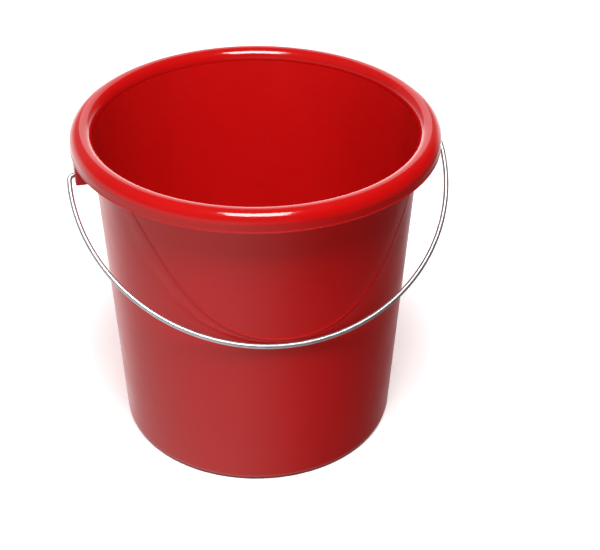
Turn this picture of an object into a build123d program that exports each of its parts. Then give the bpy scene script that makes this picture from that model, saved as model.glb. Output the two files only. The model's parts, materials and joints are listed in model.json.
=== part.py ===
"""Wash bucket: one moulded vessel with a rolled rim and two ear lugs, and one steel wire bail.

Frame: millimetres, +Z up. The origin is on the bucket's axis at the plane it stands on.
X runs along the bail's pivot axis, and the bail lies against the front wall, on the -Y side.
"""
import os
from math import atan2, cos, degrees, pi, radians, sin

from build123d import *

# ---------------------------------------------------------------- driving dimensions
# Vessel
rim_radius = 140.0           # outside of the rolled rim
height = 263.0               # top of the rim above the floor
base_radius = 110.8          # outside of the wall, carried down to the floor
wall = 2.0                   # wall thickness
bead_radius = 8.8            # outside radius of the rim's half-round
skirt_height = 6.2           # straight skirt under the half-round
base_corner = 5.7            # rounding between wall and foot
inner_corner = 7.0           # rounding between wall and floor on the inside
floor_thickness = 2.4
foot_recess = 2.0            # how far the underside is raised inside the foot ring
foot_width = 7.0             # flat width of the foot ring
gate_radius = 9.0            # shallow dish round the moulding gate, under the floor
gate_depth = 0.8
lip_round = 0.8              # rounding of thin moulded edges

# Raised panel on the front, a U in outline, sized as seen from the front
panel_bottom = 142.6         # lowest point of its edge
panel_rise = 86.5            # height from there to where it is panel_half_width wide
panel_half_width = 101.2
panel_flat_share = 0.58      # how far out the U stays level, as a share of its half width
panel_flare_share = 0.79     # and where it leans outwards half way up
panel_top_flare = 13.0       # how much wider it is where it runs up into the rim
panel_step = 0.7             # how far it stands out of the wall
panel_margin = 2.0           # how far its skin is carried below the U before it is cut

# Bail, a round wire
wire_diameter = 3.8
pivot_height = 231.6
bail_half_width = 144.9      # centreline of a leg at its elbow
bail_splay = 0.3             # how much wider the bow is than the elbows
bail_depth = 152.4           # pivot axis to the middle of the bow
leg_length = 10.7            # pivot axis to the start of the bow
elbow_radius = 4.6           # centreline radius of the bend into the ear
bail_rest = 37.7             # angle of the resting bail below the horizontal
bail_shift = 2.0             # the bail lies this far along +X in its end play
head_diameter = 8.0          # upset end of the wire, inside the ear
head_thickness = 2.0
head_reach = 133.6           # outer face of a head when the bail is centred

# Ears, two open-bottomed boxes under the skirt
ear_face = 138.6             # outer face of the ear
ear_half_length = 9.5        # along Y
ear_bottom = 227.6
ear_wall = 2.4
ear_corner = 1.2             # rounding of the two outer upright edges
ear_overlap = 20.0           # how far the block runs into the wall before it is trimmed
slot_width = 4.6             # upright slot in the outer face, for the wire
slot_rise = 5.0              # how far the wire can rise in the slot

# Litre scale on the inside of the wall
litre_marks = range(1, 11)
scale_azimuth = 285.0        # direction of the scale from the axis, from +X
mark_relief = 0.4
mark_length = 18.0
stroke = 1.0                 # width of ticks and numerals
numeral_height = 7.0
numeral_breadth = 3.8
numeral_gap = 2.5            # between a tick's end and its numeral
digit_pitch = 5.7            # from one digit to the next in a two-digit numeral

# ---------------------------------------------------------------- worked out
bead_centre = rim_radius - bead_radius
bead_level = height - bead_radius
skirt_bottom = bead_level - skirt_height
channel_radius = bead_radius - wall
wall_top_radius = bead_centre - channel_radius
wall_slope = (wall_top_radius - base_radius) / bead_level
floor_top = foot_recess + floor_thickness
wire_radius = wire_diameter / 2


def outer_radius(z):
    """Outside radius of the tapered wall at height z."""
    return base_radius + wall_slope * z


def fill_height(litres):
    """Height of the water level that holds this volume, by halving the gap that holds it."""
    floor_radius = outer_radius(floor_top) - wall
    low = floor_top
    high = height
    while high - low > 1e-6:
        level = (low + high) / 2
        level_radius = outer_radius(level) - wall
        mean_square = (floor_radius**2 + floor_radius * level_radius + level_radius**2) / 3
        if pi * mean_square * (level - floor_top) < litres * 1e6:
            low = level
        else:
            high = level
    return low


# ---------------------------------------------------------------- vessel shell
with BuildPart() as shell:
    with BuildSketch(Plane.XZ) as section:
        with BuildLine():
            foot_inner = base_radius - base_corner - foot_width
            Polyline(
                (0, foot_recess),
                (foot_inner, foot_recess),
                (foot_inner, 0),
                (base_radius, 0),
                (wall_top_radius, bead_level),
            )
            ThreePointArc(
                (wall_top_radius, bead_level),
                (bead_centre, bead_level + channel_radius),
                (rim_radius - wall, bead_level),
            )
            Polyline(
                (rim_radius - wall, bead_level),
                (rim_radius - wall, skirt_bottom),
                (rim_radius, skirt_bottom),
                (rim_radius, bead_level),
            )
            ThreePointArc(
                (rim_radius, bead_level),
                (bead_centre, height),
                (wall_top_radius - wall, bead_level),
            )
            Polyline(
                (wall_top_radius - wall, bead_level),
                (outer_radius(floor_top) - wall, floor_top),
                (0, floor_top),
                (0, foot_recess),
            )
        make_face()
        fillet(section.vertices().sort_by_distance((base_radius, 0, 0))[0], base_corner)
        fillet(
            section.vertices().sort_by_distance((outer_radius(floor_top) - wall, 0, floor_top))[0],
            inner_corner,
        )
        fillet(section.vertices().sort_by_distance((foot_inner, 0, 0))[0], lip_round)
        for edge_radius in (rim_radius - wall, rim_radius):
            fillet(
                section.vertices().sort_by_distance((edge_radius, 0, skirt_bottom))[0],
                lip_round,
            )
    revolve(axis=Axis.Z)
    # shallow dish where the moulding gate was, in the middle of the underside
    with BuildSketch(Plane.XY.offset(foot_recess)):
        Circle(gate_radius)
    extrude(amount=gate_depth, taper=45, mode=Mode.SUBTRACT)

# ---------------------------------------------------------------- raised front panel
with BuildPart() as panel:
    with BuildSketch(Plane.XZ):
        with BuildLine():
            Bezier(
                (-panel_half_width, panel_bottom + panel_rise),
                (-panel_flare_share * panel_half_width, panel_bottom + panel_rise / 2),
                (-panel_flat_share * panel_half_width, panel_bottom),
                (0, panel_bottom),
            )
            Bezier(
                (0, panel_bottom),
                (panel_flat_share * panel_half_width, panel_bottom),
                (panel_flare_share * panel_half_width, panel_bottom + panel_rise / 2),
                (panel_half_width, panel_bottom + panel_rise),
            )
            Polyline(
                (panel_half_width, panel_bottom + panel_rise),
                (panel_half_width + panel_top_flare, bead_level),
                (-panel_half_width - panel_top_flare, bead_level),
                (-panel_half_width, panel_bottom + panel_rise),
            )
        make_face()
    extrude(amount=rim_radius)
    # keep only a skin that stands panel_step out of the wall
    skin_bottom = panel_bottom - panel_margin
    with BuildSketch(Plane.XZ):
        with BuildLine():
            Polyline(
                (outer_radius(skin_bottom) - wall / 2, skin_bottom),
                (outer_radius(skin_bottom) + panel_step, skin_bottom),
                (wall_top_radius + panel_step, bead_level),
                (wall_top_radius - wall / 2, bead_level),
                close=True,
            )
        make_face()
    revolve(axis=Axis.Z, mode=Mode.INTERSECT)

# ---------------------------------------------------------------- ears
with BuildPart() as ears:
    ear_depth = ear_face - wall_top_radius + ear_overlap
    ear_middle = ear_face - ear_depth / 2
    with BuildSketch(Plane.XY.offset(ear_bottom)):
        with Locations((-ear_middle, 0), (ear_middle, 0)):
            Rectangle(ear_depth, 2 * ear_half_length)
    extrude(amount=height - ear_bottom)
    fillet(
        ears.edges().filter_by(Axis.Z).group_by(lambda edge: abs(edge.center().X))[-1],
        ear_corner,
    )
    # hollow, open at the bottom and towards the wall
    with BuildSketch(Plane.XY.offset(ear_bottom)):
        with Locations((-ear_middle + ear_wall, 0), (ear_middle - ear_wall, 0)):
            Rectangle(ear_depth, 2 * (ear_half_length - ear_wall))
    extrude(amount=height - ear_bottom, mode=Mode.SUBTRACT)
    # upright slot in each outer face
    with BuildSketch(Plane.YZ):
        with Locations((0, pivot_height + slot_rise / 2)):
            SlotCenterToCenter(slot_rise, slot_width, rotation=90)
    extrude(amount=rim_radius, both=True, mode=Mode.SUBTRACT)
    # trimmed to the space between the wall and the rim's channel
    with BuildSketch(Plane.XZ):
        with BuildLine():
            mid_channel = channel_radius + wall / 2
            ThreePointArc(
                (bead_centre - mid_channel, bead_level),
                (bead_centre, bead_level + mid_channel),
                (bead_centre + mid_channel, bead_level),
            )
            Polyline(
                (bead_centre + mid_channel, bead_level),
                (bead_centre + mid_channel, ear_bottom),
                (outer_radius(ear_bottom) - wall / 2, ear_bottom),
                (bead_centre - mid_channel, bead_level),
            )
        make_face()
    revolve(axis=Axis.Z, mode=Mode.INTERSECT)


# ---------------------------------------------------------------- litre scale
# Each numeral is one run of straight strokes on a grid one unit broad and one unit tall.
numeral_points = {
    "0": [(0, 0.3), (0, 0.7), (0.3, 1), (0.7, 1), (1, 0.7), (1, 0.3), (0.7, 0), (0.3, 0), (0, 0.3)],
    "1": [(0.2, 0.75), (0.6, 1), (0.6, 0)],
    "2": [(0, 0.8), (0.3, 1), (0.7, 1), (1, 0.78), (0, 0), (1, 0)],
    "3": [(0, 1), (1, 1), (0.45, 0.6), (1, 0.3), (0.7, 0), (0.3, 0), (0, 0.15)],
    "4": [(0.7, 0), (0.7, 1), (0, 0.3), (1, 0.3)],
    "5": [(1, 1), (0.1, 1), (0.1, 0.55), (0.65, 0.6), (1, 0.3), (0.7, 0), (0.25, 0), (0, 0.15)],
    "6": [(0.8, 1), (0, 0.35), (0.3, 0), (0.7, 0), (1, 0.3), (0.7, 0.58), (0.2, 0.5)],
    "7": [(0, 1), (1, 1), (0.35, 0)],
    "8": [(0.3, 0.54), (0, 0.77), (0.3, 1), (0.7, 1), (1, 0.77), (0.7, 0.54), (0.3, 0.54),
          (0, 0.27), (0.3, 0), (0.7, 0), (1, 0.27), (0.7, 0.54)],
    "9": [(0.2, 0), (1, 0.65), (0.7, 1), (0.3, 1), (0, 0.7), (0.3, 0.42), (0.8, 0.5)],
}


def draw_numeral(digit, left):
    """Add one digit to the open sketch as rounded bars, its lower left corner at (left, 0)."""
    points = [
        Vector(left + x * numeral_breadth, y * numeral_height) for x, y in numeral_points[digit]
    ]
    for start, end in zip(points, points[1:]):
        bar = end - start
        with Locations((start + end) / 2):
            SlotCenterToCenter(bar.length, stroke, rotation=degrees(atan2(bar.Y, bar.X)))


with BuildPart() as scale:
    turn = radians(scale_azimuth)
    for litres in litre_marks:
        level = fill_height(litres)
        inner = outer_radius(level) - wall
        mark_plane = Plane(
            origin=(inner * cos(turn), inner * sin(turn), level),
            x_dir=(sin(turn), -cos(turn), 0),
            z_dir=(-cos(turn), -sin(turn), wall_slope),
        )
        with BuildSketch(mark_plane):
            with Locations((-mark_length / 2, 0)):
                Rectangle(mark_length, stroke)
            for place, digit in enumerate(str(litres)):
                draw_numeral(digit, numeral_gap + place * digit_pitch)
        extrude(amount=wall, both=True)
    # keep only what stands mark_relief out of the inner wall
    with BuildSketch(Plane.XZ):
        with BuildLine():
            Polyline(
                (outer_radius(floor_top) - wall - mark_relief, floor_top),
                (outer_radius(floor_top) - wall / 2, floor_top),
                (wall_top_radius - wall / 2, bead_level),
                (wall_top_radius - wall - mark_relief, bead_level),
                close=True,
            )
        make_face()
    revolve(axis=Axis.Z, mode=Mode.INTERSECT)

# ---------------------------------------------------------------- the whole moulding
with BuildPart() as bucket_body:
    add(shell.part)
    add(panel.part)
    add(ears.part)
    add(scale.part)

# ---------------------------------------------------------------- bail
rest_direction = Vector(0, -cos(radians(bail_rest)), -sin(radians(bail_rest)))
bail_plane = Plane(
    origin=(bail_shift, 0, pivot_height),
    x_dir=(1, 0, 0),
    z_dir=Vector(1, 0, 0).cross(rest_direction),
)
bow_half_width = bail_half_width + bail_splay

with BuildPart() as bail_handle:
    with BuildLine(bail_plane) as route:
        for side in (-1, 1):
            elbow = side * (bail_half_width - elbow_radius)
            Line((side * head_reach, 0), (elbow, 0))
            ThreePointArc(
                (elbow, 0),
                (
                    elbow + side * elbow_radius * sin(radians(45)),
                    elbow_radius * (1 - cos(radians(45))),
                ),
                (side * bail_half_width, elbow_radius),
            )
            Line((side * bail_half_width, elbow_radius), (side * bow_half_width, leg_length))
        EllipticalCenterArc(
            (0, leg_length),
            bow_half_width,
            bail_depth - leg_length,
            start_angle=0,
            arc_size=180,
        )
    wire_start = bail_plane.from_local_coords((-head_reach, 0, 0))
    with BuildSketch(Plane(origin=wire_start, z_dir=(-1, 0, 0))):
        Circle(wire_radius)
    sweep(path=route.wires()[0])
    # the upset heads keep the ends from pulling out of the ears
    for side in (-1, 1):
        head_plane = Plane(
            origin=(bail_shift + side * head_reach, 0, pivot_height),
            z_dir=(-side, 0, 0),
        )
        with BuildSketch(head_plane):
            Circle(head_diameter / 2)
        extrude(amount=head_thickness)

# ---------------------------------------------------------------- export
os.makedirs("parts", exist_ok=True)
bucket_body.part.label = "bucket_body"
export_step(bucket_body.part, "parts/bucket_body.step")
bail_handle.part.label = "bail_handle"
export_step(bail_handle.part, "parts/bail_handle.step")
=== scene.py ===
"""Looks of the wash bucket: the moulded vessel, its ears and litre scale, and the wire bail."""
import json
import math

import bpy
import numpy as np
from mathutils import Matrix, Vector


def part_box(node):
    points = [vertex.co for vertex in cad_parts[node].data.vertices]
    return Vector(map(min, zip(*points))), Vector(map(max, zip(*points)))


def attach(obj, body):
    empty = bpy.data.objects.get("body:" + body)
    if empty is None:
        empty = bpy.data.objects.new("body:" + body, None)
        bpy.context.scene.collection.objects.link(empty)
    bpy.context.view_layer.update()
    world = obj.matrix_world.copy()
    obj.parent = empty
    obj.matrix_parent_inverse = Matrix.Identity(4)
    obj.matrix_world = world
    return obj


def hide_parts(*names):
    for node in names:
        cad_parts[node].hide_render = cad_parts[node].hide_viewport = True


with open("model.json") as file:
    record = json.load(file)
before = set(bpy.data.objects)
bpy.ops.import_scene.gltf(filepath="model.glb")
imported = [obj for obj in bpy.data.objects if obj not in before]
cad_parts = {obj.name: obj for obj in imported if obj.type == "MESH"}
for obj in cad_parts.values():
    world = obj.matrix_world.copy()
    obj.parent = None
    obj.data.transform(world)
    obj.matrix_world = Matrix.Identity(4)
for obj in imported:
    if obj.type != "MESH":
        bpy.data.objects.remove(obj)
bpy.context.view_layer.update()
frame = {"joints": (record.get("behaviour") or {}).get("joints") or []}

MM = 0.001

# ---------------------------------------------------------------- sizes, in millimetres
body_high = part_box("bucket_body")[1]
bail_low, bail_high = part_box("bail_handle")
hinge = frame["joints"][0]

RIM_RADIUS = body_high.x / MM
HEIGHT = body_high.z / MM
BASE_RADIUS = 110.8
WALL = 2.0
BEAD_RADIUS = 8.8
SKIRT_HEIGHT = 6.2
BASE_CORNER = 5.7
INNER_CORNER = 7.0
FLOOR_THICKNESS = 2.4
FOOT_RECESS = 2.0
FOOT_WIDTH = 7.0
GATE_RADIUS = 9.0
GATE_DEPTH = 0.8
LIP_ROUND = 0.8

PANEL_BOTTOM = 142.6
PANEL_RISE = 86.5
PANEL_HALF_WIDTH = 101.2
PANEL_FLAT_SHARE = 0.58      # how far out the panel's U stays level, as a share of its half width
PANEL_FLARE_SHARE = 0.79     # and where it leans outwards half way up
PANEL_TOP_FLARE = 13.0       # how much wider it is where it runs up into the rim
PANEL_STEP = 0.7
PANEL_TOP_MARGIN = 3.0       # the panel's edge stays this far under the middle of the rim
PANEL_FADE = 6.0             # height over which the edge, and
PANEL_TOP_FADE = 4.0         # the panel itself, sink into the wall at the top
PANEL_EDGE = 1.2             # width of the moulded edge round the panel: a fine groove, then a low lip
# across the edge: (place in its width, how far out of the wall)
PANEL_EDGE_PROFILE = (
    (-1.0, 0.0), (-0.80, -0.10), (-0.60, -0.55), (-0.40, -0.80), (-0.18, -0.50),
    (0.02, 0.38), (0.18, 0.82), (0.40, 0.98), (0.66, 0.88), (1.0, PANEL_STEP),
)
STEEPEST_EDGE = 4            # the edge widens with its slope up to this slope

FOOT_BEAD = 0.6              # fine bead round the foot: how far it stands out,
FOOT_BEAD_TURN = math.radians(-40)   # where it lies on the rounding
FOOT_BEAD_SPREAD = math.radians(8)   # and how far it spreads
SKIRT_LIP = 0.6              # rounding of the skirt's lower edge
SKIRT_LEAN = 0.30            # how far the skirt's face leans in above the edge
CENTRE_RING = 1.0            # radius of the innermost ring of points, under and over the floor

EAR_FACE = 138.6
EAR_HALF_LENGTH = 9.5
EAR_BOTTOM = 227.6
EAR_WALL = 2.4
EAR_CORNER = 1.2
EAR_ROOT = 2.4               # how far the ear runs into the wall
EAR_HOLLOW_CORNER = 0.5
EAR_TOP_GAP = 0.4            # between the ear's top and the middle of the rim's wall
EAR_EASE = 0.35              # rounding of the ear's edges
SLOT_REACH = 6.0             # how far the slot is cut to each side of the ear's face
SLOT_WIDTH = 4.6
SLOT_RISE = 5.0

WIRE_RADIUS = 1.9
PIVOT_HEIGHT = hinge["pos_m"][2] / MM
BAIL_SPLAY = 0.3
BAIL_DEPTH = 152.4
LEG_LENGTH = 10.7
ELBOW_RADIUS = 4.6
BAIL_REST = math.radians(37.7)
HEAD_RADIUS = 4.0
HEAD_THICKNESS = 2.0
HEAD_REACH = 133.6
BAIL_SHIFT = (bail_high.x + bail_low.x) / 2 / MM
BOW_HALF_WIDTH = (bail_high.x - bail_low.x) / 2 / MM - WIRE_RADIUS
BAIL_HALF_WIDTH = BOW_HALF_WIDTH - BAIL_SPLAY

SCALE_AZIMUTH = math.radians(285.0)
MARK_RELIEF = 0.4
MARK_LENGTH = 18.0
STROKE = 1.0
NUMERAL_HEIGHT = 7.0
NUMERAL_BREADTH = 3.8
NUMERAL_GAP = 2.5
DIGIT_PITCH = 5.7
STROKE_LIFT = 0.01           # every other stroke is this much higher, so that no tops share a plane

BEAD_CENTRE = RIM_RADIUS - BEAD_RADIUS
BEAD_LEVEL = HEIGHT - BEAD_RADIUS
SKIRT_BOTTOM = BEAD_LEVEL - SKIRT_HEIGHT
CHANNEL_RADIUS = BEAD_RADIUS - WALL
WALL_TOP_RADIUS = BEAD_CENTRE - CHANNEL_RADIUS
WALL_SLOPE = (WALL_TOP_RADIUS - BASE_RADIUS) / BEAD_LEVEL
FLOOR_TOP = FOOT_RECESS + FLOOR_THICKNESS
COLUMNS = 432                # divisions round the vessel
CONTACT_SHADOW_RADIUS = 109.6       # painted contact shadow: a dark disc on the floor, under the foot


def outer_radius(z):
    """Outside radius of the tapered wall at height z."""
    return BASE_RADIUS + WALL_SLOPE * z


# ---------------------------------------------------------------- mesh helpers
def make_piece(name, vertices, faces, body, material, smooth=True):
    """A mesh piece from points in millimetres, riding on a CAD body."""
    mesh = bpy.data.meshes.new(name)
    mesh.from_pydata([Vector(v) * MM for v in vertices], [], faces)
    mesh.validate()
    mesh.update()
    piece = bpy.data.objects.new(name, mesh)
    bpy.context.scene.collection.objects.link(piece)
    mesh.materials.append(material)
    if smooth:
        mesh.shade_smooth()
    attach(piece, body)
    return piece


def arc_points(centre, radius, start, end, count):
    """Points along an arc in the section plane, angles in degrees."""
    angles = np.radians(np.linspace(start, end, count))
    return [(centre[0] + radius * math.cos(a), centre[1] + radius * math.sin(a)) for a in angles]


def line_points(start, end, spacing):
    """Evenly spaced points from start to end, both included."""
    start, end = np.array(start, float), np.array(end, float)
    count = max(2, int(np.linalg.norm(end - start) / spacing) + 1)
    return [tuple(start + (end - start) * t) for t in np.linspace(0, 1, count)]


def rounded_corner(before, corner, after, radius, count=7):
    """Points of a rounding of this radius at a corner between two straight runs."""
    before, corner, after = (np.array(p, float) for p in (before, corner, after))
    back = (before - corner) / np.linalg.norm(before - corner)
    on = (after - corner) / np.linalg.norm(after - corner)
    half = math.acos(float(np.clip(back @ on, -1, 1))) / 2
    reach = radius / math.tan(half)
    bisector = (back + on) / np.linalg.norm(back + on)
    centre = corner + bisector * radius / math.sin(half)
    first = corner + back * reach - centre
    last = corner + on * reach - centre
    start = math.atan2(first[1], first[0])
    turn = math.atan2(last[1], last[0]) - start
    turn = (turn + math.pi) % (2 * math.pi) - math.pi
    return [
        tuple(centre + radius * np.array((math.cos(start + turn * t), math.sin(start + turn * t))))
        for t in np.linspace(0, 1, count)
    ]


def joined(*runs, spacing=3.0):
    """One run of points, with straight stretches filled in between the runs given."""
    points = list(runs[0])
    for run in runs[1:]:
        gap = line_points(points[-1], run[0], spacing)
        points += gap[1:-1]
        if np.linalg.norm(np.subtract(points[-1], run[0])) > 1e-6:
            points.append(run[0])
        points += run[1:]
    return points


# ---------------------------------------------------------------- node helpers
def new_material(name):
    """A node material, with its tree and its Principled shader."""
    material = bpy.data.materials.new(name)
    material.use_nodes = True
    tree = material.node_tree
    shader = tree.nodes["Principled BSDF"]
    return material, tree, shader


def add_noise(tree, scale, detail=3.0, stretch=(1, 1, 1)):
    """A noise texture in object space; stretch squeezes it along each axis."""
    place = tree.nodes.new("ShaderNodeTexCoord")
    mapping = tree.nodes.new("ShaderNodeMapping")
    mapping.inputs["Scale"].default_value = stretch
    noise = tree.nodes.new("ShaderNodeTexNoise")
    noise.inputs["Scale"].default_value = scale
    noise.inputs["Detail"].default_value = detail
    noise.inputs["Distortion"].default_value = 0.0
    tree.links.new(place.outputs["Object"], mapping.inputs["Vector"])
    tree.links.new(mapping.outputs["Vector"], noise.inputs["Vector"])
    return noise.outputs["Fac"]


def add_map(tree, value, low_in, high_in, low_out, high_out):
    """The value carried from one range to another."""
    node = tree.nodes.new("ShaderNodeMapRange")
    node.inputs["From Min"].default_value = low_in
    node.inputs["From Max"].default_value = high_in
    node.inputs["To Min"].default_value = low_out
    node.inputs["To Max"].default_value = high_out
    tree.links.new(value, node.inputs["Value"])
    return node.outputs["Result"]


def add_math(tree, operation, first, second):
    """The sum, product or other operation on two values, each a number or a socket."""
    node = tree.nodes.new("ShaderNodeMath")
    node.operation = operation
    for socket, value in zip(node.inputs, (first, second)):
        if isinstance(value, (int, float)):
            socket.default_value = value
        else:
            tree.links.new(value, socket)
    return node.outputs[0]


def add_mix(tree, factor, first, second):
    """A mix of two colours, each a tuple or a socket."""
    node = tree.nodes.new("ShaderNodeMix")
    node.data_type = "RGBA"
    tree.links.new(factor, node.inputs["Factor"])
    for socket, value in ((node.inputs["A"], first), (node.inputs["B"], second)):
        if isinstance(value, tuple):
            socket.default_value = value
        else:
            tree.links.new(value, socket)
    return node.outputs["Result"]


def add_bump(tree, height, strength, distance, before=None):
    """Bump from a height, on top of the bump before it if there is one."""
    node = tree.nodes.new("ShaderNodeBump")
    node.inputs["Strength"].default_value = strength
    node.inputs["Distance"].default_value = distance
    tree.links.new(height, node.inputs["Height"])
    if before is not None:
        tree.links.new(before, node.inputs["Normal"])
    return node.outputs["Normal"]


# ---------------------------------------------------------------- materials
# The reds stand for light and shade, not for different plastics: the rim bead and skirt are painted darker as
# painted shade, and the inside is painted lighter as painted light.
RIM_RED_PAINTED_DARKER = (0.50, 0.0036, 0.0036, 1)
WALL_RED = (0.56, 0.0046, 0.0046, 1)
INSIDE_RED_PAINTED_LIGHTER = (0.64, 0.0050, 0.0050, 1)
MARK_RED_PAINTED_HIGHLIGHT = (0.76, 0.030, 0.030, 1)  # painted highlight: the raised marks are coloured paler to stand for the light they catch
SEAM_TURN = math.radians(14)        # from each ear
SEAM_WIDTH = 0.0007


def plastic_material(name, low_roughness, high_roughness, grain, light, seam=False):
    """Moulded polypropylene: faint flow clouds, a fine moulding skin and uneven gloss."""
    material, tree, shader = new_material(name)
    deep = tuple(0.93 * channel for channel in light[:3]) + (1,)
    clouds = add_noise(tree, 14, detail=2, stretch=(1, 1, 0.35))
    colour = add_mix(tree, add_map(tree, clouds, 0.35, 0.65, 0, 1), deep, light)
    tree.links.new(colour, shader.inputs["Base Color"])
    haze = add_noise(tree, 38, detail=4)
    roughness = add_map(tree, haze, 0.3, 0.7, low_roughness, high_roughness)
    tree.links.new(roughness, shader.inputs["Roughness"])
    skin = add_noise(tree, 900, detail=2)
    swell = add_noise(tree, 55, detail=1)
    normal = add_bump(tree, swell, 0.25, 0.0004)
    normal = add_bump(tree, skin, grain, 0.00012, normal)
    if seam:
        # a faint mould line crosses the rim a little way round from each ear
        place = tree.nodes.new("ShaderNodeTexCoord")
        across = tree.nodes.new("ShaderNodeVectorMath")
        across.operation = "DOT_PRODUCT"
        across.inputs[1].default_value = (-math.sin(SEAM_TURN), math.cos(SEAM_TURN), 0)
        tree.links.new(place.outputs["Object"], across.inputs[0])
        aside = add_math(tree, "ABSOLUTE", across.outputs["Value"], 0.0)
        normal = add_bump(tree, add_map(tree, aside, 0.0, SEAM_WIDTH, 1, 0), 0.2, 0.0004, normal)
    tree.links.new(normal, shader.inputs["Normal"])
    shader.inputs["IOR"].default_value = 1.49
    return material


def wire_material():
    """Bright zinc-plated drawn wire: fine lines along it and a faint mottle."""
    material, tree, shader = new_material("bail_wire_zinc")
    uv = tree.nodes.new("ShaderNodeTexCoord")
    mapping = tree.nodes.new("ShaderNodeMapping")
    mapping.inputs["Scale"].default_value = (34, 3, 1)
    lines = tree.nodes.new("ShaderNodeTexNoise")
    lines.inputs["Scale"].default_value = 3.0
    lines.inputs["Detail"].default_value = 3.0
    tree.links.new(uv.outputs["UV"], mapping.inputs["Vector"])
    tree.links.new(mapping.outputs["Vector"], lines.inputs["Vector"])
    mottle = add_noise(tree, 220, detail=3)
    colour = add_mix(
        tree,
        add_map(tree, mottle, 0.35, 0.65, 0, 1),
        (0.54, 0.55, 0.56, 1),
        (0.64, 0.65, 0.66, 1),
    )
    tree.links.new(colour, shader.inputs["Base Color"])
    tree.links.new(add_map(tree, mottle, 0.3, 0.7, 0.32, 0.37), shader.inputs["Roughness"])
    tree.links.new(add_bump(tree, lines.outputs["Fac"], 0.05, 0.00002), shader.inputs["Normal"])
    shader.inputs["Metallic"].default_value = 0.85
    return material


# the bead and skirt take the red painted darker for shade, the inside the red painted lighter for light
bead_plastic = plastic_material("bucket_bead_gloss", 0.08, 0.12, 0.03, RIM_RED_PAINTED_DARKER, seam=True)
wall_plastic = plastic_material("bucket_wall_satin", 0.285, 0.345, 0.10, WALL_RED)
inside_plastic = plastic_material("bucket_inside_satin", 0.30, 0.38, 0.10, INSIDE_RED_PAINTED_LIGHTER)
skirt_plastic = plastic_material("bucket_skirt_satin", 0.285, 0.33, 0.08, RIM_RED_PAINTED_DARKER)
# the scale takes the paler red, a painted highlight on the raised marks
scale_plastic = plastic_material("bucket_scale_satin", 0.285, 0.33, 0.05, MARK_RED_PAINTED_HIGHLIGHT)
wire_zinc = wire_material()


# ---------------------------------------------------------------- vessel
# order of the vessel's materials
WALL_ZONE, BEAD_ZONE, INSIDE_ZONE, SKIRT_ZONE = range(4)


def panel_edge_heights(angles):
    """Height of the raised panel's edge at each angle from the front, and its slope."""
    half_points = np.array(
        [
            (0, PANEL_BOTTOM),
            (PANEL_FLAT_SHARE * PANEL_HALF_WIDTH, PANEL_BOTTOM),
            (PANEL_FLARE_SHARE * PANEL_HALF_WIDTH, PANEL_BOTTOM + PANEL_RISE / 2),
            (PANEL_HALF_WIDTH, PANEL_BOTTOM + PANEL_RISE),
        ]
    )
    t = np.linspace(0, 1, 200)[:, None]
    curve = (
        (1 - t) ** 3 * half_points[0]
        + 3 * (1 - t) ** 2 * t * half_points[1]
        + 3 * (1 - t) * t**2 * half_points[2]
        + t**3 * half_points[3]
    )
    top = np.linspace(0, 1, 20)[1:, None]
    corner = np.array((PANEL_HALF_WIDTH + PANEL_TOP_FLARE, BEAD_LEVEL))
    curve = np.vstack([curve, curve[-1] + (corner - curve[-1]) * top])
    turn = np.arcsin(curve[:, 0] / outer_radius(curve[:, 1]))
    angles = (angles + math.pi) % (2 * math.pi) - math.pi
    heights = np.interp(np.abs(angles), turn, curve[:, 1], right=2 * BEAD_LEVEL)
    step = 0.002
    ahead = np.interp(np.abs(angles) + step, turn, curve[:, 1], right=2 * BEAD_LEVEL)
    slope = (ahead - heights) / (step * outer_radius(np.minimum(heights, BEAD_LEVEL)))
    return heights, np.clip(slope, 0, STEEPEST_EDGE)


def wall_grid(angles, z_low, z_high):
    """Rows of (radius, height) up the outer wall; a band of them follows the panel's edge."""
    edge, slope = panel_edge_heights(angles)
    half_band = PANEL_EDGE / 2 * np.sqrt(1 + slope**2)
    limit = z_high - PANEL_TOP_MARGIN
    raised = np.clip((limit - edge) / PANEL_FADE, 0, 1)
    edge = np.minimum(edge, limit - half_band)
    rows = []
    for t in np.linspace(0, 1, 44)[:-1]:
        z = z_low + (edge - half_band - z_low) * t
        rows.append((outer_radius(z), z))
    for along, proud in PANEL_EDGE_PROFILE:
        z = edge + half_band * along
        rows.append((outer_radius(z) + proud * raised, z))
    for t in np.linspace(0, 1, 30)[1:-1]:
        z = edge + half_band + (z_high - edge - half_band) * t
        fade = np.clip((z_high - z) / PANEL_TOP_FADE, 0, 1)
        rows.append((outer_radius(z) + PANEL_STEP * raised * fade, z))
    return rows


def foot_corner(foot_inner, wall_top):
    """The rounding from foot to wall, with a fine bead round it just above the floor."""
    plain = rounded_corner((foot_inner, 0), (BASE_RADIUS, 0), wall_top, BASE_CORNER, 40)
    centre = (plain[0][0], BASE_CORNER)
    points = []
    for radius, z in plain:
        angle = math.atan2(z - centre[1], radius - centre[0])
        proud = FOOT_BEAD * math.exp(-(((angle - FOOT_BEAD_TURN) / FOOT_BEAD_SPREAD) ** 2))
        points.append((radius + proud * math.cos(angle), z + proud * math.sin(angle)))
    return points


def skirt_outside():
    """The outside of the skirt from its lower edge up: a low moulded lip, then a leaning face."""
    foot = RIM_RADIUS - SKIRT_LEAN
    points = arc_points((RIM_RADIUS - SKIRT_LIP, SKIRT_BOTTOM + SKIRT_LIP), SKIRT_LIP, -90, 45, 9)
    points += [(foot + 0.02, SKIRT_BOTTOM + 1.4)]
    points += line_points((foot, SKIRT_BOTTOM + 1.8), (RIM_RADIUS, BEAD_LEVEL), 0.8)[:-1]
    return points


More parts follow.
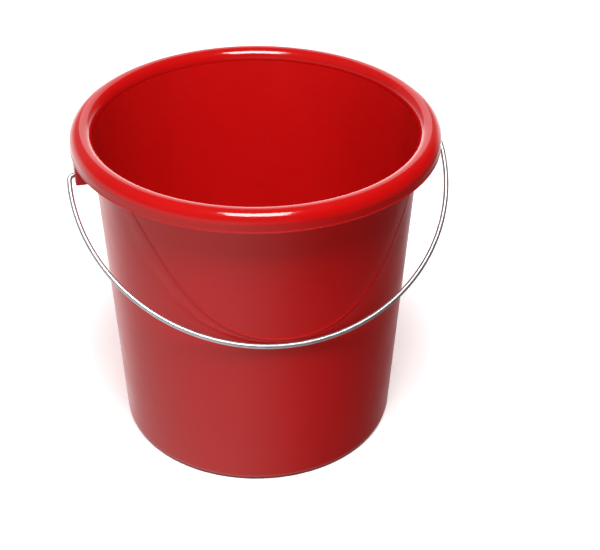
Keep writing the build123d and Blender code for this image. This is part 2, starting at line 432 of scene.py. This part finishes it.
def vessel_piece():
    """The vessel as one closed surface of revolution with the raised panel on its wall."""
    angles = np.arange(COLUMNS) * 2 * math.pi / COLUMNS
    foot_inner = BASE_RADIUS - BASE_CORNER - FOOT_WIDTH
    wall_top = (WALL_TOP_RADIUS, BEAD_LEVEL)
    corner = foot_corner(foot_inner, wall_top)
    underside = joined(
        [(0.0, FOOT_RECESS + GATE_DEPTH), (CENTRE_RING, FOOT_RECESS + GATE_DEPTH)],
        rounded_corner(
            (0, FOOT_RECESS + GATE_DEPTH),
            (GATE_RADIUS - GATE_DEPTH, FOOT_RECESS + GATE_DEPTH),
            (GATE_RADIUS, FOOT_RECESS),
            0.4,
        ),
        rounded_corner(
            (GATE_RADIUS - GATE_DEPTH, FOOT_RECESS + GATE_DEPTH),
            (GATE_RADIUS, FOOT_RECESS),
            (foot_inner, FOOT_RECESS),
            0.4,
        ),
        rounded_corner((0, FOOT_RECESS), (foot_inner, FOOT_RECESS), (foot_inner, 0), 0.5),
        rounded_corner((foot_inner, FOOT_RECESS), (foot_inner, 0), (BASE_RADIUS, 0), LIP_ROUND),
        corner,
        spacing=4.0,
    )
    skirt_in = RIM_RADIUS - WALL
    inner_floor = (outer_radius(FLOOR_TOP) - WALL, FLOOR_TOP)
    inner_top = (WALL_TOP_RADIUS - WALL, BEAD_LEVEL)
    rest = joined(
        arc_points((BEAD_CENTRE, BEAD_LEVEL), CHANNEL_RADIUS, 180, 0, 22),
        rounded_corner(
            (skirt_in, BEAD_LEVEL), (skirt_in, SKIRT_BOTTOM), (RIM_RADIUS, SKIRT_BOTTOM), LIP_ROUND
        ),
        skirt_outside(),
        arc_points((BEAD_CENTRE, BEAD_LEVEL), BEAD_RADIUS, 0, 180, 49),
        rounded_corner(inner_top, inner_floor, (0, FLOOR_TOP), INNER_CORNER, 12),
        [(CENTRE_RING, FLOOR_TOP), (0.0, FLOOR_TOP)],
        spacing=4.0,
    )
    rows = []
    for radius, z in underside[1:]:
        rows.append((np.full(COLUMNS, radius), np.full(COLUMNS, z)))
    for radius, z in wall_grid(angles, corner[-1][1], BEAD_LEVEL)[1:]:
        rows.append((radius, z))
    at_bead_level = [i for i, (radius, z) in enumerate(rest) if abs(z - BEAD_LEVEL) < 1e-6]
    skirt_start = len(rows) + at_bead_level[1]
    bead_start = len(rows) + at_bead_level[-2]
    bead_end = len(rows) + at_bead_level[-1]
    for radius, z in rest[:-1]:
        rows.append((np.full(COLUMNS, radius), np.full(COLUMNS, z)))
    # the front, angle 0, faces -Y
    across, back = np.sin(angles), -np.cos(angles)
    vertices = []
    for radius, z in rows:
        vertices += zip(radius * across, radius * back, z)
    faces = []
    zones = []
    for row in range(len(rows) - 1):
        if row >= bead_end:
            zone = INSIDE_ZONE
        elif row >= bead_start:
            zone = BEAD_ZONE
        elif row >= skirt_start:
            zone = SKIRT_ZONE
        else:
            zone = WALL_ZONE
        for column in range(COLUMNS):
            after = (column + 1) % COLUMNS
            faces.append(
                (
                    row * COLUMNS + column,
                    row * COLUMNS + after,
                    (row + 1) * COLUMNS + after,
                    (row + 1) * COLUMNS + column,
                )
            )
            zones.append(zone)
    caps = ((underside[0][1], 0, WALL_ZONE), (FLOOR_TOP, len(rows) - 1, INSIDE_ZONE))
    for centre_z, row, zone in caps:
        vertices.append((0.0, 0.0, centre_z))
        centre = len(vertices) - 1
        for column in range(COLUMNS):
            a = row * COLUMNS + column
            b = row * COLUMNS + (column + 1) % COLUMNS
            faces.append((a, centre, b) if row == 0 else (a, b, centre))
            zones.append(zone)
    piece = make_piece("bucket_vessel", vertices, faces, "bucket", wall_plastic)
    for material in (bead_plastic, inside_plastic, skirt_plastic):
        piece.data.materials.append(material)
    piece.data.polygons.foreach_set("material_index", zones)
    return piece


vessel = vessel_piece()
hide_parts("bucket_body")


# ---------------------------------------------------------------- ears
def ear_outline():
    """Plan of the ear at +X: a channel open towards the wall, its outer corners rounded."""
    inner_x = WALL_TOP_RADIUS - EAR_ROOT
    outer = [(inner_x, -EAR_HALF_LENGTH), (EAR_FACE, -EAR_HALF_LENGTH), (EAR_FACE, EAR_HALF_LENGTH),
             (inner_x, EAR_HALF_LENGTH)]
    hollow_x = EAR_FACE - EAR_WALL
    hollow_y = EAR_HALF_LENGTH - EAR_WALL
    hollow = [(inner_x, hollow_y), (hollow_x, hollow_y), (hollow_x, -hollow_y), (inner_x, -hollow_y)]
    runs = [[outer[0]]]
    for i in (1, 2):
        runs.append(rounded_corner(outer[i - 1], outer[i], outer[i + 1], EAR_CORNER))
    runs.append([outer[3], hollow[0]])
    for i in (1, 2):
        runs.append(rounded_corner(hollow[i - 1], hollow[i], hollow[i + 1], EAR_HOLLOW_CORNER, 5))
    runs.append([hollow[3]])
    return joined(*runs, spacing=1.2)


def slot_cutter(side):
    """A prism through the ear's outer face with the outline of the upright slot.

    Known fault: for the ear at -X the prism is mirrored, so its faces point inwards, and the cut
    made with it leaves that ear whole. The wire runs through solid plastic there.
    """
    outline = []
    for start, z in ((0, SLOT_RISE), (180, 0)):
        for angle in np.radians(np.linspace(start, start + 180, 17)):
            outline.append(
                (SLOT_WIDTH / 2 * math.cos(angle), PIVOT_HEIGHT + z + SLOT_WIDTH / 2 * math.sin(angle))
            )
    near, far = side * (EAR_FACE - SLOT_REACH), side * (EAR_FACE + SLOT_REACH)
    count = len(outline)
    vertices = [(x, y, z) for x in (near, far) for y, z in outline]
    faces = [tuple(range(count))[::-1], tuple(range(count, 2 * count))]
    for i in range(count):
        j = (i + 1) % count
        faces.append((i, j, count + j, count + i))
    mesh = bpy.data.meshes.new("slot_cutter")
    mesh.from_pydata([Vector(v) * MM for v in vertices], [], faces)
    cutter = bpy.data.objects.new("slot_cutter", mesh)
    bpy.context.scene.collection.objects.link(cutter)
    return cutter


def apply_modifiers(piece):
    """Bake the piece's modifiers into its mesh."""
    bpy.context.view_layer.update()
    evaluated = piece.evaluated_get(bpy.context.evaluated_depsgraph_get())
    mesh = bpy.data.meshes.new_from_object(evaluated)
    piece.modifiers.clear()
    piece.data = mesh


def ear_piece(name, side):
    """One ear lug, its top shaped to the rim's channel, with eased edges. Only the one at +X has its slot."""
    outline = ear_outline()
    if side < 0:
        outline = [(-x, y) for x, y in reversed(outline)]
    count = len(outline)
    mid_channel = CHANNEL_RADIUS + WALL / 2
    tops = []
    for x, y in outline:
        out = min(abs(math.hypot(x, y) - BEAD_CENTRE), mid_channel - 0.01)
        tops.append(BEAD_LEVEL + math.sqrt(mid_channel**2 - out**2) - EAR_TOP_GAP)
    vertices = []
    for share in (0, 0.5, 1):
        for (x, y), top in zip(outline, tops):
            vertices.append((x, y, EAR_BOTTOM + (top - EAR_BOTTOM) * share))
    faces = [tuple(range(count))[::-1], tuple(range(2 * count, 3 * count))]
    for level in range(2):
        for i in range(count):
            j = (i + 1) % count
            faces.append(
                (level * count + i, level * count + j, (level + 1) * count + j, (level + 1) * count + i)
            )
    piece = make_piece(name, vertices, faces, "bucket", wall_plastic, smooth=False)
    cutter = slot_cutter(side)
    cut = piece.modifiers.new("slot", "BOOLEAN")
    cut.object = cutter
    cut.solver = "EXACT"
    ease = piece.modifiers.new("ease", "BEVEL")
    ease.width = EAR_EASE * MM
    ease.segments = 3
    ease.limit_method = "ANGLE"
    ease.angle_limit = math.radians(50)
    apply_modifiers(piece)
    bpy.data.objects.remove(cutter)
    piece.data.shade_smooth()
    piece.data.set_sharp_from_angle(angle=math.radians(38))
    return piece


ear_piece("bucket_ear_left", -1)
ear_piece("bucket_ear_right", 1)


# ---------------------------------------------------------------- litre scale
# Each numeral is one run of straight strokes on a grid one unit broad and one unit tall.
NUMERAL_POINTS = {
    "0": [(0, 0.3), (0, 0.7), (0.3, 1), (0.7, 1), (1, 0.7), (1, 0.3), (0.7, 0), (0.3, 0), (0, 0.3)],
    "1": [(0.2, 0.75), (0.6, 1), (0.6, 0)],
    "2": [(0, 0.8), (0.3, 1), (0.7, 1), (1, 0.78), (0, 0), (1, 0)],
    "3": [(0, 1), (1, 1), (0.45, 0.6), (1, 0.3), (0.7, 0), (0.3, 0), (0, 0.15)],
    "4": [(0.7, 0), (0.7, 1), (0, 0.3), (1, 0.3)],
    "5": [(1, 1), (0.1, 1), (0.1, 0.55), (0.65, 0.6), (1, 0.3), (0.7, 0), (0.25, 0), (0, 0.15)],
    "6": [(0.8, 1), (0, 0.35), (0.3, 0), (0.7, 0), (1, 0.3), (0.7, 0.58), (0.2, 0.5)],
    "7": [(0, 1), (1, 1), (0.35, 0)],
    "8": [(0.3, 0.54), (0, 0.77), (0.3, 1), (0.7, 1), (1, 0.77), (0.7, 0.54), (0.3, 0.54),
          (0, 0.27), (0.3, 0), (0.7, 0), (1, 0.27), (0.7, 0.54)],
    "9": [(0.2, 0), (1, 0.65), (0.7, 1), (0.3, 1), (0, 0.7), (0.3, 0.42), (0.8, 0.5)],
}


def fill_height(litres):
    """Height of the water level that holds this volume, from the cone's volume by bisection."""
    low_radius = outer_radius(FLOOR_TOP) - WALL
    low, high = FLOOR_TOP, HEIGHT
    for _ in range(40):
        level = (low + high) / 2
        top_radius = low_radius + WALL_SLOPE * (level - FLOOR_TOP)
        area = math.pi * (low_radius**2 + low_radius * top_radius + top_radius**2) / 3
        if area * (level - FLOOR_TOP) < litres * 1e6:
            low = level
        else:
            high = level
    return low


END_POINTS = 7               # points round each rounded end of a stroke
STROKE_STEP = 1.5            # spacing of the points along it
# rings of points up a stroke: (share of its width, how far out of the wall)
STROKE_RINGS = ((1.0, -0.5), (1.0, 0.15), (0.93, 0.3), (0.78, MARK_RELIEF))


def scale_piece():
    """Ticks and numerals as raised rounded strokes that follow the inside of the wall."""
    vertices, faces = [], []

    def add_stroke(start, end, level, lift):
        start, end = np.array(start, float), np.array(end, float)
        length = np.linalg.norm(end - start)
        ahead = (end - start) / length
        aside = np.array((-ahead[1], ahead[0]))
        steps = max(2, int(length / STROKE_STEP))
        outline = []
        for angle in np.radians(np.linspace(-90, 90, END_POINTS)):
            outline.append((length, math.cos(angle), math.sin(angle)))
        outline += [(length * (1 - i / steps), 0, 1) for i in range(1, steps)]
        for angle in np.radians(np.linspace(90, 270, END_POINTS)):
            outline.append((0, math.cos(angle), math.sin(angle)))
        outline += [(length * i / steps, 0, -1) for i in range(1, steps)]
        rings = STROKE_RINGS[:-1] + ((STROKE_RINGS[-1][0], MARK_RELIEF + lift),)
        first = len(vertices)
        for width, relief in rings:
            reach = width * STROKE / 2
            for run, out_ahead, out_aside in outline:
                flat = start + ahead * (run + out_ahead * reach) + aside * out_aside * reach
                z = level + flat[1]
                radius = outer_radius(z) - WALL - relief
                turn = SCALE_AZIMUTH - flat[0] / radius
                vertices.append((radius * math.cos(turn), radius * math.sin(turn), z))
        count = len(outline)
        for ring in range(len(rings) - 1):
            for i in range(count):
                j = (i + 1) % count
                base = first + ring * count
                faces.append((base + i, base + j, base + count + j, base + count + i))
        top = first + (len(rings) - 1) * count
        # the top face as quads across the stroke, so that it bends with the wall
        right = list(range(END_POINTS - 1, END_POINTS + steps))
        left = [(-i) % count for i in range(steps + 1)]
        faces.append(tuple(top + i for i in range(END_POINTS)))
        for i in range(steps):
            faces.append((top + left[i], top + right[i], top + right[i + 1], top + left[i + 1]))
        back = [right[-1] + i for i in range(END_POINTS)]
        faces.append(tuple(top + i % count for i in back))

    for litres in range(1, 11):
        level = fill_height(litres)
        half_stroke = STROKE / 2
        add_stroke((-MARK_LENGTH + half_stroke, 0), (-half_stroke, 0), level, 0)
        for place, digit in enumerate(str(litres)):
            left = NUMERAL_GAP + place * DIGIT_PITCH
            points = [
                (left + x * NUMERAL_BREADTH, y * NUMERAL_HEIGHT) for x, y in NUMERAL_POINTS[digit]
            ]
            for i, (start, end) in enumerate(zip(points, points[1:])):
                add_stroke(start, end, level, STROKE_LIFT * (i % 2))
    piece = make_piece("bucket_litre_scale", vertices, faces, "bucket", scale_plastic)
    piece.data.set_sharp_from_angle(angle=math.radians(60))
    return piece


scale_piece()


# ---------------------------------------------------------------- bail
def bail_route():
    """Centreline of the wire in its own plane: (along X, away from the pivot axis)."""
    half = [(HEAD_REACH, 0.0)]
    half += line_points((HEAD_REACH, 0), (BAIL_HALF_WIDTH - ELBOW_RADIUS, 0), 1.0)[1:]
    elbow = arc_points((BAIL_HALF_WIDTH - ELBOW_RADIUS, ELBOW_RADIUS), ELBOW_RADIUS, -90, 0, 17)
    half += elbow[1:]
    half += line_points(elbow[-1], (BOW_HALF_WIDTH, LEG_LENGTH), 1.0)[1:]
    bow = []
    for angle in np.linspace(0, math.pi, 241)[1:-1]:
        bow.append(
            (BOW_HALF_WIDTH * math.cos(angle), LEG_LENGTH + (BAIL_DEPTH - LEG_LENGTH) * math.sin(angle))
        )
    return half + bow + [(-x, y) for x, y in reversed(half)]


def bail_piece():
    """The wire swept along its route, with an upset head on each end."""
    sides = 28
    route = np.array(bail_route())
    tangent = np.gradient(route, axis=0)
    tangent /= np.linalg.norm(tangent, axis=1)[:, None]
    away = np.array((0, -math.cos(BAIL_REST), -math.sin(BAIL_REST)))
    along = np.array((1.0, 0, 0))
    plane_normal = np.cross(along, away)
    pivot = np.array((BAIL_SHIFT, 0, PIVOT_HEIGHT))
    run = np.concatenate([[0], np.cumsum(np.linalg.norm(np.diff(route, axis=0), axis=1))])
    # rings: (route position, offset along the wire, ring radius)
    ease, half_ease = 0.5, 0.15  # rounding of the head's edges, at its ends and half way round
    tip = 0.01
    head = [
        (-HEAD_THICKNESS, tip),
        (-HEAD_THICKNESS, HEAD_RADIUS - ease),
        (-HEAD_THICKNESS + half_ease, HEAD_RADIUS - half_ease),
        (-HEAD_THICKNESS + ease, HEAD_RADIUS),
        (-ease, HEAD_RADIUS),
        (-half_ease, HEAD_RADIUS - half_ease),
        (0.0, HEAD_RADIUS - ease),
        (0.0, WIRE_RADIUS + ease),
        (half_ease, WIRE_RADIUS + half_ease),
        (ease, WIRE_RADIUS),
    ]
    rings = [(0, offset, radius) for offset, radius in head]
    rings += [(i, 0.0, WIRE_RADIUS) for i in range(1, len(route) - 1)]
    rings += [(len(route) - 1, -offset, radius) for offset, radius in reversed(head)]
    vertices, faces = [], []
    for index, offset, radius in rings:
        centre = pivot + route[index][0] * along + route[index][1] * away
        ahead = tangent[index][0] * along + tangent[index][1] * away
        across = np.cross(plane_normal, ahead)
        centre = centre + ahead * offset
        for angle in np.arange(sides) * 2 * math.pi / sides:
            vertices.append(centre + radius * (math.cos(angle) * across + math.sin(angle) * plane_normal))
    for ring in range(len(rings) - 1):
        for i in range(sides):
            j = (i + 1) % sides
            base = ring * sides
            faces.append((base + i, base + j, base + sides + j, base + sides + i))
    last = (len(rings) - 1) * sides
    faces.append(tuple(range(sides))[::-1])
    faces.append(tuple(last + i for i in range(sides)))
    piece = make_piece("bail_wire", vertices, faces, "bail", wire_zinc)
    mesh = piece.data
    layer = mesh.uv_layers.new(name="UVMap")
    lengths = [run[index] + offset for index, offset, _ in rings]
    for polygon in mesh.polygons[: (len(rings) - 1) * sides]:
        ring, i = divmod(polygon.index, sides)
        corners = ((i, ring), (i + 1, ring), (i + 1, ring + 1), (i, ring + 1))
        for loop, (u, v) in zip(polygon.loop_indices, corners):
            layer.data[loop].uv = (u / sides, lengths[v] / 100)
    mesh.set_sharp_from_angle(angle=math.radians(50))
    return piece


bail = bail_piece()
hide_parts("bail_handle")


# ---------------------------------------------------------------- stage
def add_floor():
    """A pale floor that throws no light back on the bucket."""
    mesh = bpy.data.meshes.new("floor")
    size = 30.0
    corners = [(-size, -size, 0), (size, -size, 0), (size, size, 0), (-size, size, 0)]
    mesh.from_pydata(corners, [], [(0, 1, 2, 3)])
    floor = bpy.data.objects.new("floor", mesh)
    bpy.context.scene.collection.objects.link(floor)
    material, _, shader = new_material("floor_pale")
    shader.inputs["Base Color"].default_value = (0.93, 0.93, 0.93, 1)
    shader.inputs["Roughness"].default_value = 0.9
    shader.inputs["Specular IOR Level"].default_value = 0.1
    shader.inputs["Emission Color"].default_value = (1, 1, 1, 1)
    shader.inputs["Emission Strength"].default_value = 0.3
    mesh.materials.append(material)
    floor.visible_glossy = False
    floor.visible_diffuse = False


def add_underside():
    """A dark disc under the foot as a painted contact shadow, which the gloss of the lower edge also
    reflects.
    """
    mesh = bpy.data.meshes.new("floor_painted_contact_shadow")
    sides = 96
    radius, lift = CONTACT_SHADOW_RADIUS * MM, 0.2 * MM
    turns = np.linspace(0, 2 * math.pi, sides, endpoint=False)
    rim = [(radius * math.cos(a), radius * math.sin(a), lift) for a in turns]
    mesh.from_pydata(rim, [], [tuple(range(sides))])
    disc = bpy.data.objects.new("floor_painted_contact_shadow", mesh)
    bpy.context.scene.collection.objects.link(disc)
    material, _, shader = new_material("floor_painted_shadow")
    shader.inputs["Base Color"].default_value = (0.05, 0.03, 0.03, 1)
    shader.inputs["Roughness"].default_value = 0.9
    mesh.materials.append(material)


def add_area(name, place, aim, width, depth, power):
    """A soft rectangular lamp, hidden from the camera, aimed at a point."""
    light = bpy.data.lights.new(name, "AREA")
    light.shape = "RECTANGLE"
    light.size = width
    light.size_y = depth
    light.energy = power
    lamp = bpy.data.objects.new(name, light)
    lamp.location = place
    lamp.rotation_euler = (Vector(aim) - Vector(place)).to_track_quat("-Z", "Y").to_euler()
    lamp.visible_camera = False
    bpy.context.scene.collection.objects.link(lamp)
    return lamp


def add_camera():
    """Camera at the picture's viewing angle, given round the bucket's own axes."""
    azimuth, elevation, roll = math.radians(-11.83), math.radians(27.21), math.radians(0.716)
    distance = 1.0239
    aim = Vector((0.0339, -0.0071, 0.12095))
    back = Vector((math.sin(azimuth) * math.cos(elevation), -math.cos(azimuth) * math.cos(elevation),
                   math.sin(elevation)))
    axis_point = Vector((0, 0, HEIGHT * MM))
    data = bpy.data.cameras.new("camera")
    data.sensor_width = 36
    data.lens = 81.0
    camera = bpy.data.objects.new("camera", data)
    camera.location = axis_point + back * distance
    ahead = (aim - camera.location).normalized()
    right = ahead.cross(Vector((0, 0, 1))).normalized()
    up = right.cross(ahead)
    right_rolled = right * math.cos(roll) + up * math.sin(roll)
    up_rolled = up * math.cos(roll) - right * math.sin(roll)
    camera.matrix_world = Matrix.Translation(camera.location) @ Matrix(
        (right_rolled, up_rolled, -ahead)
    ).transposed().to_4x4()
    bpy.context.scene.collection.objects.link(camera)
    bpy.context.scene.camera = camera


def add_facing(tree, place, direction, low_in, high_in, low_out, high_out):
    """A value that rises smoothly as the surround's direction comes round to this one."""
    facing = tree.nodes.new("ShaderNodeVectorMath")
    facing.operation = "DOT_PRODUCT"
    facing.inputs[1].default_value = direction
    tree.links.new(place.outputs["Generated"], facing.inputs[0])
    result = add_map(tree, facing.outputs["Value"], low_in, high_in, low_out, high_out)
    result.node.interpolation_type = "SMOOTHSTEP"
    return result


def set_light():
    """A soft box above the front, a bright panel behind, and a surround that fades to the right."""
    add_area("top_box", (-0.16, -0.75, 2.3), (0, 0, 0.2), 0.95, 1.0, 66)
    panel = add_area("back_panel", (0.5, 2.2, 0.8), (0, 0, 0.8), 1.5, 3.6, 20)
    panel.visible_diffuse = False
    fill = add_area("front_fill", (-0.3, -2.0, 0.5), (0, 0, 0.15), 1.5, 1.5, 12)
    fill.visible_glossy = False
    for name, x, y, power in (("left_edge", -1.2, 1.8, 22), ("right_edge", 1.7, 1.2, 24)):
        fill = add_area(name, (x, y, 0.14), (0, 0, 0.14), 1.0, 0.24, power)
        fill.visible_glossy = False
    world = bpy.data.worlds.new("studio")
    world.use_nodes = True
    tree = world.node_tree
    background = tree.nodes["Background"]
    background.inputs["Color"].default_value = (1, 1, 1, 1)
    place = tree.nodes.new("ShaderNodeTexCoord")
    from_left = add_facing(tree, place, (-0.928, 0.372, 0.0), -0.78, 0.2, 0.06, 0.72)
    from_back = add_facing(tree, place, (-0.25, 0.968, 0.0), 0.62, 0.95, 0.0, 1.05)
    split = tree.nodes.new("ShaderNodeSeparateXYZ")
    tree.links.new(place.outputs["Generated"], split.inputs["Vector"])
    dim_above = add_map(tree, split.outputs["Z"], -0.05, 0.30, 1.0, 0.2)
    bright_below = add_map(tree, split.outputs["Z"], -0.90, -0.70, 1.4, 1.0)
    from_right = add_facing(tree, place, (0.35, 0.937, 0.0), 0.74, 0.95, 0.0, 1.35)
    around = add_math(tree, "ADD", add_math(tree, "ADD", from_left, from_back), from_right)
    strength = add_math(tree, "MULTIPLY", add_math(tree, "MULTIPLY", around, dim_above), bright_below)
    tree.links.new(strength, background.inputs["Strength"])
    bpy.context.scene.world = world
    bpy.context.scene.view_settings.view_transform = "Standard"
    bpy.context.scene.view_settings.look = "None"


add_floor()
add_underside()
add_camera()
set_light()
